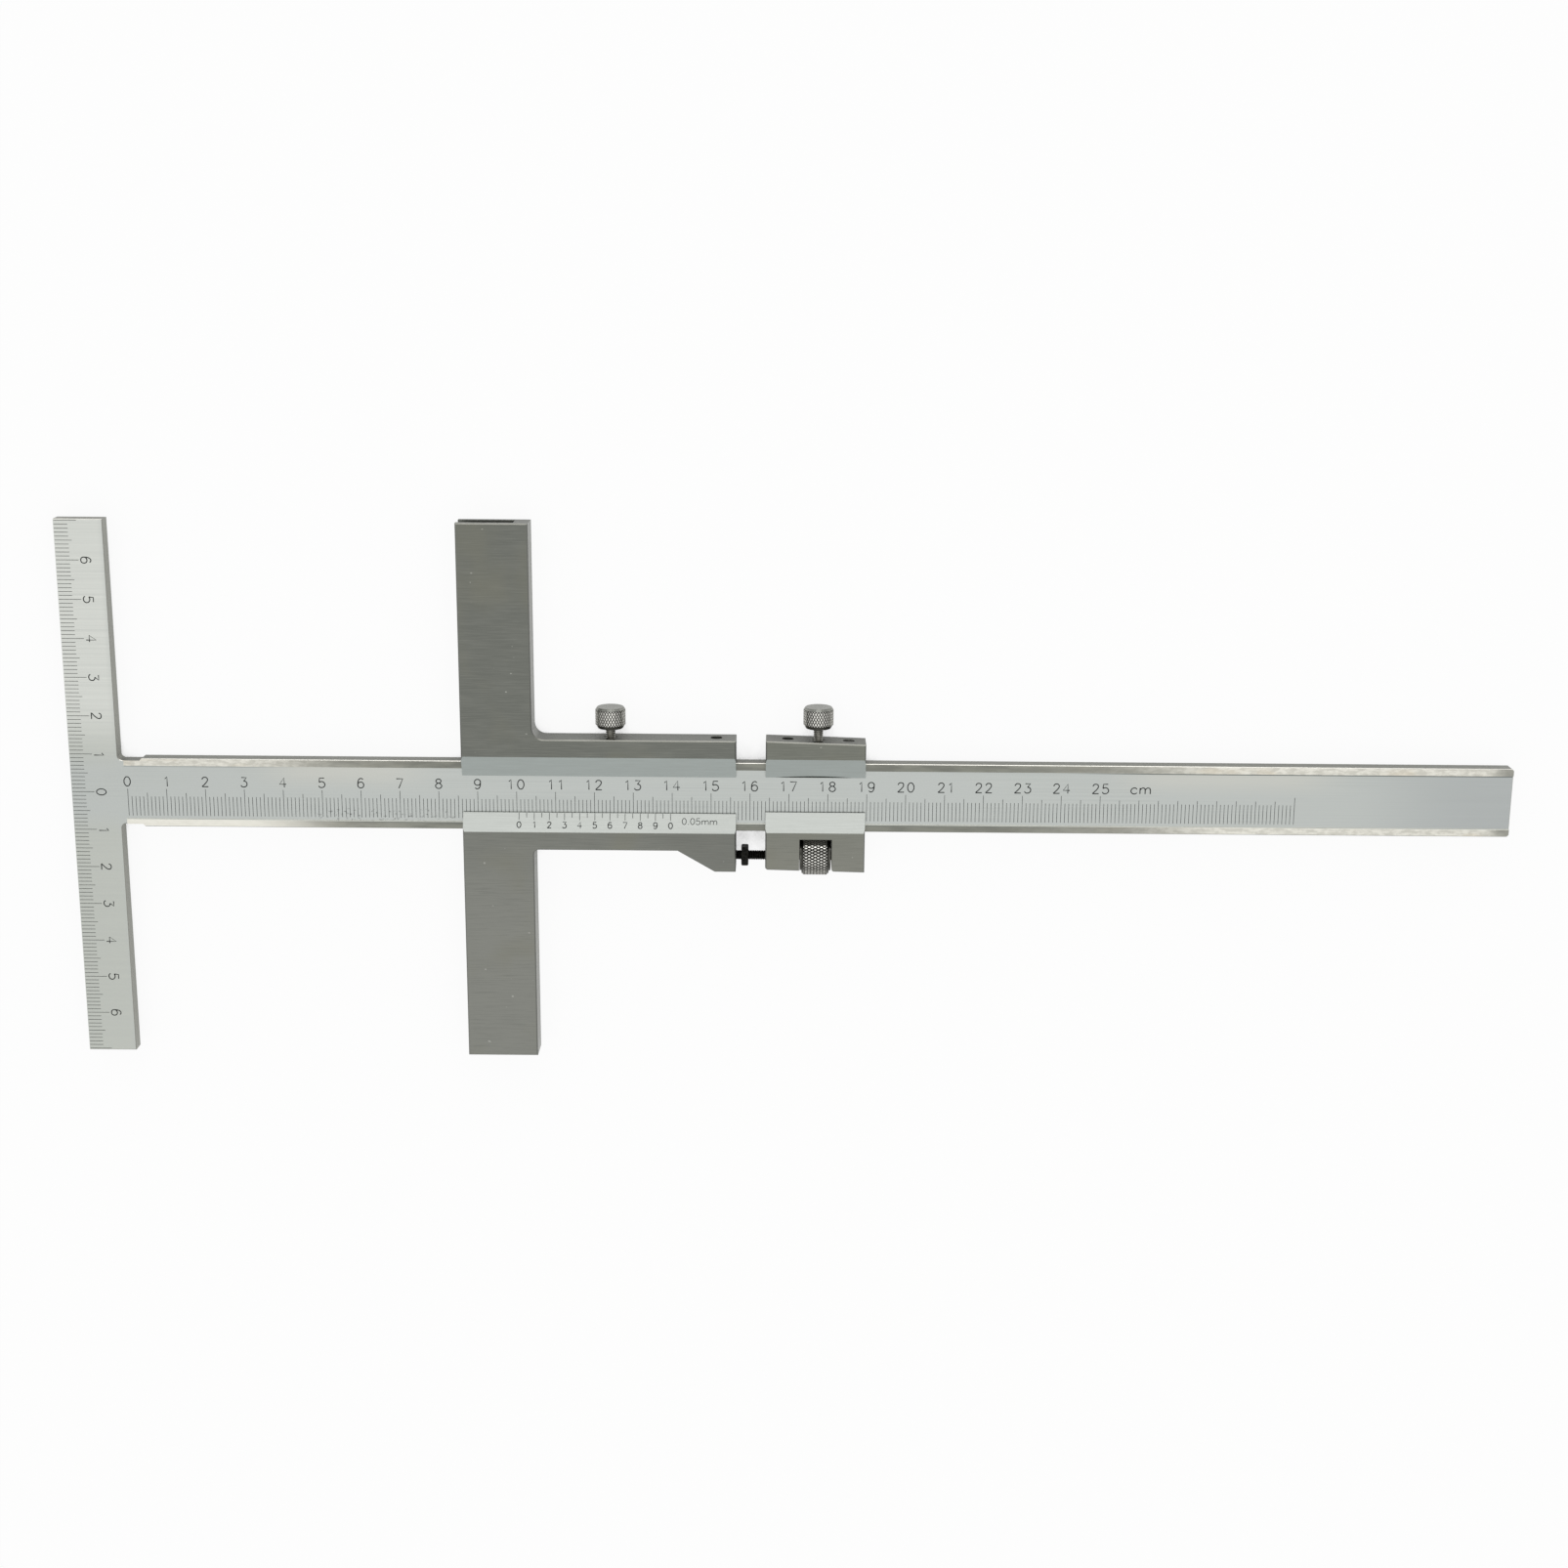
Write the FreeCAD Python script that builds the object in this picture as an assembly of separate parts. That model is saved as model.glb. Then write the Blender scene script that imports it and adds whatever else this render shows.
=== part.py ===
import FreeCAD, Part
import math
import os

# Marking caliper, millimetres. +X runs along the beam, +Y along the crossbar, +Z out of the
# graduated face. The origin is the centre of the crossbar's scribing face.

# Setting shown: distance from the scribing face to the fence's guide face
reading = 100.6

# Crossbar and beam, ground from one plate
crossbar_length = 140.8
crossbar_width = 12.3
bar_thickness = 4.0
beam_width = 18.0
beam_reach = 370.0
rail_width = 1.95
rail_height = 0.2
rail_setback = 1.5
relief_depth = 0.6
relief_length = 5.6
corner_radius = 1.2
beam_end_chamfer = 0.5
bar_edge_break = 0.15

# Clearances: flat slides, turning screws, screws that stay put, and the screw through the block
slide_clearance = 0.05
turning_clearance = 0.05
fixed_clearance = 0.03
passing_clearance = 0.1

# Walls of the slider and of the adjuster block round the beam
front_wall = 1.85
back_wall = 2.05
slider_top_wall = 4.95
slider_bottom_wall = 4.95
body_edge_break = 0.3

# Fence with its slot for the crossbar; its ends stand a little inside the crossbar's
fence_inset = 0.1
fence_web = 3.8
slot_end_clearance = 0.9
upper_corner_radius = 3.0
lower_corner_radius = 1.3

# Slider body to the right of the fence
slider_length = 70.2
foot_flat = 5.4
foot_below_screw = 3.55
ramp_angle = 30.0

# Bevelled lips over the beam's face, which leave the window for the scale
lip_edge = 0.25
slider_upper_lip = 3.75
slider_upper_bevel = 5.3
slider_lower_lip = 4.55
slider_lower_bevel = 4.85
block_upper_lip = 3.65
block_upper_bevel = 5.05
block_lower_lip = 5.1
block_lower_bevel = 5.1

# Gib strips, which take up the play above the beam
gib_thickness = 1.0
gib_lift = 0.15
gib_side_gap = 0.15
gib_end_gap = 0.4

# Slotted gib screws
gib_screw_diameter = 3.0
gib_screw_length = 4.7
gib_screw_point = 0.35
gib_screw_slot_width = 0.5
gib_screw_slot_depth = 0.8
slider_gib_screw_inset = 5.1
block_gib_screw_spacing = 15.6

# Knurled clamp screws
clamp_head_diameter = 7.7
clamp_head_length = 5.5
clamp_top_bevel_width = 0.43
clamp_top_bevel_depth = 0.62
clamp_foot_bevel_width = 0.65
clamp_foot_bevel_depth = 0.85
clamp_thread_diameter = 2.5
clamp_thread_length = 7.45
clamp_mouth_diameter = 3.9
slider_clamp_offset = 38.0
slider_clamp_gap = 0.1
block_clamp_gap = 0.45

# Adjuster block: the nut's window stands between two cheeks
block_left_cheek = 8.8
block_right_cheek = 8.45
block_top_wall = 5.0
block_top_fall = 0.75
block_below_screw = 2.9
block_bottom_fall = 0.55
block_corner_radius = 0.8
cheek_corner_chamfer = 0.45
block_clamp_offset = 13.4
window_wall = 1.65
window_headroom = 0.3

# Fine adjustment: knurled nut, fixed screw and its lock nut
nut_diameter = 10.0
nut_hub_diameter = 7.8
nut_knurl_length = 7.0
nut_hub_length = 0.5
nut_chamfer = 0.35
nut_left_play = 0.1
nut_right_play = 0.25
screw_diameter = 2.5
screw_hold = 6.0
screw_end_chamfer = 0.3
screw_spare = 0.35
fine_travel = 4.0
lock_nut_across_flats = 5.0
lock_nut_thickness = 1.8
lock_nut_face_diameter = 5.1
lock_nut_chamfer_depth = 0.2
lock_nut_gap = 1.4
lock_nut_stop_gap = 0.4

# Places that follow from the sizes above
half_beam = beam_width / 2
half_bar = bar_thickness / 2
rail_top = half_bar + rail_height
channel_front = rail_top + slide_clearance
channel_back = -(half_bar + slide_clearance)
body_front = channel_front + front_wall
body_back = channel_back - back_wall
gib_bottom = half_beam + slide_clearance
gib_top = gib_bottom + gib_thickness
channel_top = gib_top + gib_lift
channel_bottom = -(half_beam + slide_clearance)

fence_length = crossbar_length - 2 * fence_inset
slot_depth = crossbar_width + corner_radius + slot_end_clearance
fence_left = reading
slot_bottom = fence_left + slot_depth
fence_right = slot_bottom + fence_web
slider_right = fence_left + slider_length
slider_top = channel_top + slider_top_wall
slider_bottom = channel_bottom - slider_bottom_wall

nut_radius = nut_diameter / 2
nut_length = nut_knurl_length + 2 * nut_hub_length
window_top = channel_bottom - window_wall
screw_y = window_top - window_headroom - nut_radius
foot_bottom = screw_y - foot_below_screw
ramp_run = (slider_bottom - foot_bottom) / math.tan(math.radians(ramp_angle))

block_gap = lock_nut_gap + lock_nut_thickness + fine_travel + lock_nut_stop_gap
block_left = slider_right + block_gap
window_left = block_left + block_left_cheek
nut_left = window_left + nut_left_play
nut_right = nut_left + nut_length
window_right = nut_right + nut_right_play
block_right = window_right + block_right_cheek
block_top = channel_top + block_top_wall
block_bottom = screw_y - block_below_screw

slider_clamp_x = fence_left + slider_clamp_offset
slider_gib_screw_x = slider_right - slider_gib_screw_inset
block_clamp_x = block_left + block_clamp_offset
block_gib_screw_xs = [block_clamp_x + side * block_gib_screw_spacing / 2 for side in (-1, 1)]

along_x = FreeCAD.Vector(1, 0, 0)
along_y = FreeCAD.Vector(0, 1, 0)
overshoot = 1.0


def box(x_low, x_high, y_low, y_high, z_low, z_high):
    corner = FreeCAD.Vector(x_low, y_low, z_low)
    return Part.makeBox(x_high - x_low, y_high - y_low, z_high - z_low, corner)


def rounded_outline(corners):
    # Closed wire in the XY plane; each corner is (x, y, radius) and a radius of 0 stays sharp
    arrivals = []
    departures = []
    middles = []
    for index, (x, y, radius) in enumerate(corners):
        here = FreeCAD.Vector(x, y, 0)
        before = FreeCAD.Vector(*corners[index - 1][:2], 0)
        after = FreeCAD.Vector(*corners[(index + 1) % len(corners)][:2], 0)
        back = (before - here).normalize()
        forth = (after - here).normalize()
        half_angle = back.getAngle(forth) / 2
        setback = radius / math.tan(half_angle)
        arrivals.append(here + back * setback)
        departures.append(here + forth * setback)
        bisector = (back + forth).normalize()
        middles.append(here + bisector * (radius / math.sin(half_angle) - radius))
    edges = []
    for index, corner in enumerate(corners):
        if corner[2] > 0:
            edges.append(Part.Arc(arrivals[index], middles[index], departures[index]).toShape())
        following = arrivals[(index + 1) % len(corners)]
        edges.append(Part.makeLine(departures[index], following))
    return Part.Wire(edges)


def plate(corners, z_low, z_high):
    face = Part.Face(rounded_outline(corners))
    face.translate(FreeCAD.Vector(0, 0, z_low))
    return face.extrude(FreeCAD.Vector(0, 0, z_high - z_low))


def section_along_x(points, x_low, x_high):
    # Closed section of (y, z) points carried along X
    corners = [FreeCAD.Vector(x_low, y, z) for y, z in points]
    face = Part.Face(Part.makePolygon(corners + corners[:1]))
    return face.extrude(FreeCAD.Vector(x_high - x_low, 0, 0))


def turned(points, axis_point, axis, radial):
    # Solid of revolution from (distance along the axis, radius) points
    corners = [axis_point + axis * along + radial * out for along, out in points]
    face = Part.Face(Part.makePolygon(corners + corners[:1]))
    return face.revolve(axis_point, axis, 360)


def outline_edges(shape, z_level):
    # The edges that lie flat at one height
    found = []
    for edge in shape.Edges:
        bounds = edge.BoundBox
        if abs(bounds.ZMin - z_level) + bounds.ZLength < 0.001:
            found.append(edge)
    return found


def broken_edges(shape, size):
    # Chamfer round the front and back outlines
    edges = outline_edges(shape, shape.BoundBox.ZMin) + outline_edges(shape, shape.BoundBox.ZMax)
    return shape.makeChamfer(size, edges)


def make_t_beam():
    half_length = crossbar_length / 2
    relieved = half_beam - relief_depth
    relief_end = crossbar_width + relief_length
    end_corner = half_beam - beam_end_chamfer
    upper = [
        (crossbar_width, half_length, 0),
        (crossbar_width, relieved, corner_radius),
        (relief_end, relieved, 0),
        (relief_end + relief_depth, half_beam, 0),
        (beam_reach - beam_end_chamfer, half_beam, 0),
        (beam_reach, end_corner, 0),
    ]
    lower = [(x, -y, radius) for x, y, radius in reversed(upper)]
    outline = [(0, half_length, 0)] + upper + lower + [(0, -half_length, 0)]
    bar = plate(outline, -half_bar, half_bar)
    # The scribing edges at X = 0 stay sharp, every other edge of the outline is broken
    rims = outline_edges(bar, -half_bar) + outline_edges(bar, half_bar)
    bar = bar.makeChamfer(bar_edge_break, [edge for edge in rims if edge.BoundBox.XMax > bar_edge_break])
    # Ground rails stand proud along both edges of the graduated face
    rail_inner = half_beam - rail_width
    rail_start = crossbar_width + rail_setback
    envelope = plate(outline, 0, rail_top)
    for side in (1, -1):
        rail_section = [
            (side * rail_inner, 0),
            (side * rail_inner, rail_top),
            (side * (half_beam - bar_edge_break), rail_top),
            (side * half_beam, rail_top - bar_edge_break),
            (side * half_beam, 0),
        ]
        rail = section_along_x(rail_section, rail_start, beam_reach)
        bar = bar.fuse(rail.common(envelope))
    return bar.removeSplitter()


def beam_passage(x_low, x_high):
    # Clearance round the beam, with the gib's space above it
    return box(x_low, x_high, channel_bottom, channel_top, channel_back, channel_front)


def scale_window(x_low, x_high, upper_lip, upper_bevel, lower_lip, lower_bevel):
    # Opening between the two lips, with a bevel down to each lip's thin edge
    upper_edge = half_beam - upper_lip
    lower_edge = -(half_beam - lower_lip)
    bevel_foot = channel_front + lip_edge
    section = [
        (upper_edge, 0),
        (upper_edge, bevel_foot),
        (upper_edge + upper_bevel, body_front),
        (upper_edge + upper_bevel, body_front + overshoot),
        (lower_edge - lower_bevel, body_front + overshoot),
        (lower_edge - lower_bevel, body_front),
        (lower_edge, bevel_foot),
        (lower_edge, 0),
    ]
    return section_along_x(section, x_low - overshoot, x_high + overshoot)


def gib_screw_hole(x, surface_y):
    radius = gib_screw_diameter / 2 + fixed_clearance
    start = FreeCAD.Vector(x, gib_top, 0)
    return Part.makeCylinder(radius, surface_y + overshoot - gib_top, start, along_y)


def clamp_hole(x, surface_y):
    # Threaded hole with a countersunk mouth in the top face
    radius = clamp_thread_diameter / 2 + turning_clearance
    mouth = clamp_mouth_diameter / 2
    depth = mouth - radius
    start = FreeCAD.Vector(x, gib_top, 0)
    hole = Part.makeCylinder(radius, surface_y + overshoot - gib_top, start, along_y)
    cone_start = FreeCAD.Vector(x, surface_y - depth, 0)
    cone = Part.makeCone(radius, mouth + overshoot, depth + overshoot, cone_start, along_y)
    return hole.fuse(cone)


def adjusting_bore(x_low, x_high, clearance):
    radius = screw_diameter / 2 + clearance
    return Part.makeCylinder(radius, x_high - x_low, FreeCAD.Vector(x_low, screw_y, 0), along_x)


def block_surface(x):
    # Height of the adjuster block's top face, which falls a little towards its free end
    return block_top - block_top_fall * (x - block_left) / (block_right - block_left)


def block_floor(x):
    # Height of its bottom face, which falls too
    return block_bottom - block_bottom_fall * (x - block_left) / (block_right - block_left)


def make_slider_body():
    half_fence = fence_length / 2
    outline = [
        (fence_left, half_fence, 0),
        (fence_right, half_fence, 0),
        (fence_right, slider_top, upper_corner_radius),
        (slider_right, slider_top, 0),
        (slider_right, foot_bottom, 0),
        (slider_right - foot_flat, foot_bottom, 0),
        (slider_right - foot_flat - ramp_run, slider_bottom, 0),
        (fence_right, slider_bottom, lower_corner_radius),
        (fence_right, -half_fence, 0),
        (fence_left, -half_fence, 0),
    ]
    body = broken_edges(plate(outline, body_back, body_front), body_edge_break)
    fence_end = half_fence + overshoot
    cuts = [
        box(fence_left - overshoot, slot_bottom, -fence_end, fence_end, channel_back, channel_front),
        beam_passage(fence_left, slider_right + overshoot),
        scale_window(fence_left, slider_right, slider_upper_lip, slider_upper_bevel,
                     slider_lower_lip, slider_lower_bevel),
        clamp_hole(slider_clamp_x, slider_top),
        gib_screw_hole(slider_gib_screw_x, slider_top),
        adjusting_bore(slider_right - screw_hold, slider_right + overshoot, fixed_clearance),
    ]
    for cut in cuts:
        body = body.cut(cut)
    return body.removeSplitter()


def make_adjuster_block():
    outline = [
        (block_left, block_top, 0),
        (block_right, block_surface(block_right), 0),
        (block_right, block_floor(block_right), 0),
        (block_left, block_bottom, block_corner_radius),
    ]
    block = broken_edges(plate(outline, body_back, body_front), body_edge_break)
    below = block_floor(block_right) - overshoot
    # The right cheek's inner corner is cut off at 45 degrees
    corner_sum = window_right + block_floor(window_right) + cheek_corner_chamfer
    corner_left = window_right - overshoot
    cheek_corner = [
        (corner_left, corner_sum - corner_left, 0),
        (corner_left, below, 0),
        (corner_sum - below, below, 0),
    ]
    cut_back = body_back - overshoot
    cut_front = body_front + overshoot
    cuts = [
        beam_passage(block_left - overshoot, block_right + overshoot),
        scale_window(block_left, block_right, block_upper_lip, block_upper_bevel,
                     block_lower_lip, block_lower_bevel),
        box(window_left, window_right, below, window_top, cut_back, cut_front),
        plate(cheek_corner, cut_back, cut_front),
        adjusting_bore(block_left - overshoot, block_right + overshoot, passing_clearance),
        clamp_hole(block_clamp_x, block_surface(block_clamp_x)),
    ]
    cuts += [gib_screw_hole(x, block_surface(x)) for x in block_gib_screw_xs]
    for cut in cuts:
        block = block.cut(cut)
    return block.removeSplitter()


def gib_screw(x):
    # Slotted set screw whose cone point sits in the gib's dimple
    radius = gib_screw_diameter / 2
    foot = FreeCAD.Vector(x, gib_top - gib_screw_point, 0)
    profile = [
        (0, 0),
        (radius, radius),
        (gib_screw_length, radius),
        (gib_screw_length, 0),
    ]
    screw = turned(profile, foot, along_y, along_x)
    head_y = foot.y + gib_screw_length
    half_slot = gib_screw_slot_width / 2
    slot = box(x - radius, x + radius, head_y - gib_screw_slot_depth, head_y, -half_slot, half_slot)
    return screw.cut(slot)


def gib_dimple(x):
    # Seat for the cone point, deeper than the cone by the fixed clearance
    depth = gib_screw_point + fixed_clearance
    foot = FreeCAD.Vector(x, gib_top - depth, 0)
    return Part.makeCone(0, depth + overshoot, depth + overshoot, foot, along_y)


def make_gib(x_low, x_high, screw_xs):
    strip = box(x_low + gib_end_gap, x_high - gib_end_gap, gib_bottom, gib_top,
                channel_back + gib_side_gap, channel_front - gib_side_gap)
    for x in screw_xs:
        strip = strip.cut(gib_dimple(x))
    return strip


def make_clamp_screw(x, gap):
    # Thumb screw: turned head with broken rims on a threaded shank that bears on the gib
    head_radius = clamp_head_diameter / 2
    thread_radius = clamp_thread_diameter / 2
    head_foot = clamp_thread_length
    head_top = head_foot + clamp_head_length
    tip = FreeCAD.Vector(x, gib_top + gap, 0)
    profile = [
        (0, 0),
        (0, thread_radius - screw_end_chamfer),
        (screw_end_chamfer, thread_radius),
        (head_foot, thread_radius),
        (head_foot, head_radius - clamp_foot_bevel_width),
        (head_foot + clamp_foot_bevel_depth, head_radius),
        (head_top - clamp_top_bevel_depth, head_radius),
        (head_top, head_radius - clamp_top_bevel_width),
        (head_top, 0),
    ]
    return turned(profile, tip, along_y, along_x)


def make_adjusting_screw():
    radius = screw_diameter / 2
    start = slider_right - screw_hold
    length = nut_right + fine_travel + screw_spare - start
    profile = [
        (0, 0),
        (0, radius - screw_end_chamfer),
        (screw_end_chamfer, radius),
        (length - screw_end_chamfer, radius),
        (length, radius - screw_end_chamfer),
        (length, 0),
    ]
    return turned(profile, FreeCAD.Vector(start, screw_y, 0), along_x, along_y)


def make_lock_nut():
    # Hexagon with its flats facing up and down the crossbar's direction
    corner_radius_hex = lock_nut_across_flats / 2 / math.cos(math.radians(30))
    corners = []
    for step in range(6):
        angle = math.radians(60 * step)
        corners.append((screw_y + corner_radius_hex * math.sin(angle), corner_radius_hex * math.cos(angle)))
    x_low = slider_right + lock_nut_gap
    x_high = x_low + lock_nut_thickness
    hexagon = section_along_x(corners, x_low, x_high)
    # A turned blank takes the corners off both faces
    face_radius = lock_nut_face_diameter / 2
    blank_profile = [
        (0, 0),
        (0, face_radius),
        (lock_nut_chamfer_depth, corner_radius_hex),
        (lock_nut_thickness - lock_nut_chamfer_depth, corner_radius_hex),
        (lock_nut_thickness, face_radius),
        (lock_nut_thickness, 0),
    ]
    blank = turned(blank_profile, FreeCAD.Vector(x_low, screw_y, 0), along_x, along_y)
    bore = adjusting_bore(x_low - overshoot, x_high + overshoot, fixed_clearance)
    return hexagon.common(blank).cut(bore)


def make_adjusting_nut():
    bore = screw_diameter / 2 + turning_clearance
    hub = nut_hub_diameter / 2
    knurl_start = nut_hub_length
    knurl_end = nut_hub_length + nut_knurl_length
    profile = [
        (0, bore),
        (0, hub),
        (knurl_start, hub),
        (knurl_start, nut_radius - nut_chamfer),
        (knurl_start + nut_chamfer, nut_radius),
        (knurl_end - nut_chamfer, nut_radius),
        (knurl_end, nut_radius - nut_chamfer),
        (knurl_end, hub),
        (nut_length, hub),
        (nut_length, bore),
    ]
    return turned(profile, FreeCAD.Vector(nut_left, screw_y, 0), along_x, along_y)


parts = {
    "t_beam": make_t_beam(),
    "slider_body": make_slider_body(),
    "slider_gib": make_gib(slot_bottom, slider_right, [slider_gib_screw_x]),
    "slider_gib_screw": gib_screw(slider_gib_screw_x),
    "slider_clamp_screw": make_clamp_screw(slider_clamp_x, slider_clamp_gap),
    "adjusting_screw": make_adjusting_screw(),
    "lock_nut": make_lock_nut(),
    "adjuster_block": make_adjuster_block(),
    "adjuster_gib": make_gib(block_left, block_right, block_gib_screw_xs),
    "adjuster_gib_screws": Part.makeCompound([gib_screw(x) for x in block_gib_screw_xs]),
    "adjuster_clamp_screw": make_clamp_screw(block_clamp_x, block_clamp_gap),
    "adjusting_nut": make_adjusting_nut(),
}

os.makedirs("parts", exist_ok=True)
for name, shape in parts.items():
    shape.exportStep("parts/" + name + ".step")
    bounds = shape.BoundBox
    print(f"{name}: {len(shape.Solids)} solid, valid {shape.isValid()}, volume {shape.Volume:.2f} mm3, "
          f"X {bounds.XMin:.2f} {bounds.XMax:.2f}, Y {bounds.YMin:.2f} {bounds.YMax:.2f}, "
          f"Z {bounds.ZMin:.2f} {bounds.ZMax:.2f}")
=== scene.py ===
import math

import bmesh
import bpy
from mathutils import Matrix, Vector


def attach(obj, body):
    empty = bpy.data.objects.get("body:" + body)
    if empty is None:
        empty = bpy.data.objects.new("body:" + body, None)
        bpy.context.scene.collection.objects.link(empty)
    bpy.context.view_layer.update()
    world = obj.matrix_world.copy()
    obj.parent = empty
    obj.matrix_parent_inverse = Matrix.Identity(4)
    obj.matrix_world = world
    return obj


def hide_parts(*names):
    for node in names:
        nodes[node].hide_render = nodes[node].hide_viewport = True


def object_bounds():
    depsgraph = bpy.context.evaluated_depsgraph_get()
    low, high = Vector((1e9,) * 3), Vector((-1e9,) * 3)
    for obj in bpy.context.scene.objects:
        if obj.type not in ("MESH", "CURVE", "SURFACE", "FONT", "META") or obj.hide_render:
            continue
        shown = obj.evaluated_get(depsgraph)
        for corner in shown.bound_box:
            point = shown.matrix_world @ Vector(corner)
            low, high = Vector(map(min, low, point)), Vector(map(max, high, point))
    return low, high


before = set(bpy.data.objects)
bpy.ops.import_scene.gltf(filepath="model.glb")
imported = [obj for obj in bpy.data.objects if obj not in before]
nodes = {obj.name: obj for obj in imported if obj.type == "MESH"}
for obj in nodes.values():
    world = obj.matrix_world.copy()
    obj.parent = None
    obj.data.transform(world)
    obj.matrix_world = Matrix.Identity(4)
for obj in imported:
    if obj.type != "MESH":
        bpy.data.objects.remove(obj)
cadBox = [list(corner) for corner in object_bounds()]
mm = 0.001
print("frame loaded:", len(nodes), "nodes")


# Shader node helpers

def addNode(tree, kind, settings=None, **sockets):
    node = tree.nodes.new(kind)
    for name, value in (settings or {}).items():
        setattr(node, name, value)
    for name, value in sockets.items():
        join(tree, value, node.inputs[name.replace("_", " ")])
    return node


def join(tree, value, socket):
    if isinstance(value, bpy.types.NodeSocket):
        tree.links.new(value, socket)
    else:
        socket.default_value = value


def asLinear(colour):
    # From the 0 to 255 values a picture shows to the shader's linear ones
    parts = [value / 255 for value in colour]
    return tuple(v / 12.92 if v <= 0.04045 else ((v + 0.055) / 1.055) ** 2.4 for v in parts) + (1.0,)


def calculate(tree, operation, first, second):
    node = addNode(tree, "ShaderNodeMath", {"operation": operation})
    join(tree, first, node.inputs[0])
    join(tree, second, node.inputs[1])
    return node.outputs[0]


def times(tree, first, second):
    return calculate(tree, "MULTIPLY", first, second)


def plus(tree, first, second):
    return calculate(tree, "ADD", first, second)


def rise(tree, value, low, high, start=0.0, end=1.0):
    # Eases from start to end while value goes from low to high
    node = addNode(tree, "ShaderNodeMapRange", {"interpolation_type": "SMOOTHSTEP"}, Value=value,
                   From_Min=low, From_Max=high, To_Min=start, To_Max=end)
    return node.outputs["Result"]


def fall(tree, value, low, high, start=1.0):
    return rise(tree, value, low, high, start, 0.0)


def along(tree, value, low, high, start=0.0, end=1.0):
    # The same as rise, with low and high in millimetres
    return rise(tree, value, low * mm, high * mm, start, end)


def zone(tree, value, low, high, soft):
    # 1 between low and high, in millimetres, with soft borders
    enters = along(tree, value, low - soft, low + soft)
    leaves = along(tree, value, high - soft, high + soft, 1.0, 0.0)
    return times(tree, enters, leaves)


def blend(tree, factor, under, over):
    # Colours given as 0 to 255 triples are turned linear
    node = addNode(tree, "ShaderNodeMix", {"data_type": "RGBA"})
    join(tree, factor, node.inputs[0])
    for colour, socket in ((under, node.inputs[6]), (over, node.inputs[7])):
        join(tree, asLinear(colour) if isinstance(colour, tuple) else colour, socket)
    return node.outputs[2]


def noise(tree, place, stretch, detail, roughness):
    # stretch is the pattern's frequency along X, Y and Z, per metre
    mapped = addNode(tree, "ShaderNodeMapping", Vector=place, Scale=stretch)
    pattern = addNode(tree, "ShaderNodeTexNoise", Vector=mapped.outputs[0], Scale=1.0, Detail=detail,
                      Roughness=roughness)
    return pattern.outputs[0]


def patches(tree, place, pattern, reach):
    # A noise pattern, eased over the reach (low, high, start, end)
    return rise(tree, noise(tree, place, *pattern), *reach)


# Camera, floor and light

cameraSet = {
    "lens": 52.73,
    "sensor": 36.0,
    "clip": (0.01, 20.0),
    "place": (183.689, 147.96, 573.583),  # millimetres from the scribing face
    "tilt": 0.24752,
    "turn": 0.004,
    "roll": -0.01175,
}

studioSet = {
    "floorDrop": 0.05,  # below the lowest point of the tool
    "floorSize": 2.4,
    "floorColour": (0.93, 0.93, 0.92),
    "seenWhite": 0.92,  # share of the floor the camera sees as plain white
    "mirroredWhite": 0.3,  # the same for its mirror image in the metal
    "shadeReach": 8.0,  # slits narrower than this keep their darkness
    "shadeRange": (0.12, 0.32),  # from a slit's depth to the open floor
    "shadeSamples": 8,
    "worldLevel": 0.66,
    "horizonLevel": 0.55,
    "horizonTop": 0.6,
    "lookAt": (0.18, 0.0, 0.0),
    "lamps": {  # place, size in metres and power in watts
        "overheadBox": ((0.18, -0.35, 1.5), 2.2, 6.8),
        "rearBox": ((0.2, 1.6, 0.5), 1.0, 4.6),
    },
}


def makeCamera(look):
    camera = bpy.data.objects.new("camera", bpy.data.cameras.new("camera"))
    bpy.context.scene.collection.objects.link(camera)
    camera.data.lens = look["lens"]
    camera.data.sensor_width = look["sensor"]
    camera.data.clip_start, camera.data.clip_end = look["clip"]
    seen = (Matrix.Rotation(look["roll"], 3, "Z") @ Matrix.Rotation(look["tilt"], 3, "X")
            @ Matrix.Rotation(look["turn"], 3, "Z"))
    camera.matrix_world = Matrix.Translation(Vector(look["place"]) * mm) @ seen.transposed().to_4x4()
    bpy.context.scene.camera = camera


def mixShaders(tree, share, first, second):
    mixed = addNode(tree, "ShaderNodeMixShader")
    for value, socket in zip((share, first.outputs[0], second.outputs[0]), mixed.inputs):
        join(tree, value, socket)
    return mixed.outputs[0]


def makeWorld(look):
    world = bpy.data.worlds.new("studio")
    bpy.context.scene.world = world
    world.use_nodes = True
    tree = world.node_tree
    tree.nodes.clear()
    direction = addNode(tree, "ShaderNodeTexCoord").outputs["Generated"]
    height = addNode(tree, "ShaderNodeSeparateXYZ", Vector=direction).outputs["Z"]
    level = rise(tree, height, 0.0, look["horizonTop"], look["horizonLevel"], look["worldLevel"])
    soft = addNode(tree, "ShaderNodeBackground", Color=(1.0, 1.0, 1.0, 1.0), Strength=level)
    plain = addNode(tree, "ShaderNodeBackground", Color=(1.0, 1.0, 1.0, 1.0), Strength=1.0)
    seen = addNode(tree, "ShaderNodeLightPath").outputs["Is Camera Ray"]
    addNode(tree, "ShaderNodeOutputWorld", Surface=mixShaders(tree, seen, soft, plain))


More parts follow.
